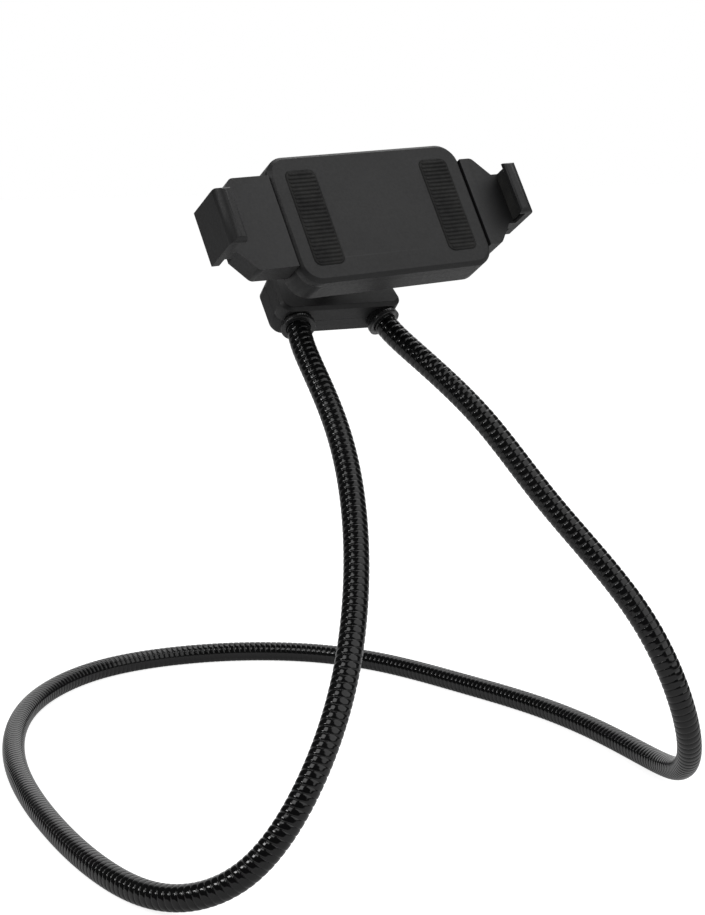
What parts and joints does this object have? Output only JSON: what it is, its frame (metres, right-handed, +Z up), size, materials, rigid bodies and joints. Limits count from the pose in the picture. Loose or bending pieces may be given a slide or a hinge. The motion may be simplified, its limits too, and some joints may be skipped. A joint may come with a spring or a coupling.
{
  "type": "gooseneck device holder",
  "caption": "Free-standing holder: a ribbed flexible metal tube bent into a base loop and two legs carries a spring clamp for a tablet or phone on a ball joint.",
  "frame": {"origin": "middle of the bounding box, on the surface that the loop lies on", "axes": "+Z up, -Y towards the user that the gripped device faces, +X to the right as the user sees it"},
  "size_m": [0.2733, 0.3417, 0.2703],
  "materials": {
    "coated_tube": "gloss black coating on a fine-ribbed steel tube",
    "claw_plastic": "matte dark grey moulded plastic",
    "shell_plastic": "matte near-black moulded plastic",
    "nut_plastic": "satin black moulded plastic",
    "nylon": "natural grey nylon",
    "rubber_pads": "soft black rubber",
    "bright_steel": "polished plated steel",
    "plain_steel": "zinc-plated steel",
    "black_screws": "black oxide steel",
    "black_ferrule": "satin black coated metal"
  },
  "bodies": {
    "neck": {"gooseneck_hose": "coated_tube", "left_ferrule": "black_ferrule", "right_ferrule": "black_ferrule", "yoke_rear_shell": "shell_plastic", "yoke_front_cover": "shell_plastic", "yoke_screws": "black_screws", "ferrule_grub_screws": "black_screws"},
    "stud": {"ball_stud": "bright_steel", "stud_washer": "plain_steel", "stud_nut": "plain_steel"},
    "seat": {"ball_seat": "nylon"},
    "clamp": {"clamp_rear_shell": "claw_plastic", "clamp_front_cover": "claw_plastic", "clamp_screws": "black_screws", "left_face_pad": "rubber_pads", "right_face_pad": "rubber_pads", "fixed_claw_pad": "rubber_pads", "upper_clamp_spring": "plain_steel", "lower_clamp_spring": "plain_steel"},
    "nut": {"lock_nut": "nut_plastic"},
    "arm": {"sliding_arm": "claw_plastic", "sliding_claw_pad": "rubber_pads", "arm_spring_pins": "plain_steel"}
  },
  "joints": [
    {"name": "stud_swivel", "type": "hinge", "parent": "neck", "child": "stud", "pos_m": [0.0043, -0.0452, 0.232], "axis": [0, -0.6947, 0.7193], "continuous": true},
    {"name": "head_tilt", "type": "hinge", "parent": "stud", "child": "seat", "pos_m": [0.0043, -0.0452, 0.232], "axis": [1, 0, 0], "range_deg": [-51, 19]},
    {"name": "head_spin", "type": "hinge", "parent": "seat", "child": "clamp", "pos_m": [0.0043, -0.0452, 0.232], "axis": [0, -0.866, 0.5], "continuous": true},
    {"name": "lock_nut_turn", "type": "hinge", "parent": "clamp", "child": "nut", "pos_m": [0.0043, -0.0452, 0.232], "axis": [0, -0.866, 0.5], "range_deg": [0, 270]},
    {"name": "arm_slide", "type": "slide", "parent": "clamp", "child": "arm", "axis": [-0.998, -0.0314, -0.0544], "range_m": [0, 0.06], "stiffness_N_per_m": 120, "springref_m": -0.06, "deforming": ["upper_clamp_spring", "lower_clamp_spring"]}
  ]
}
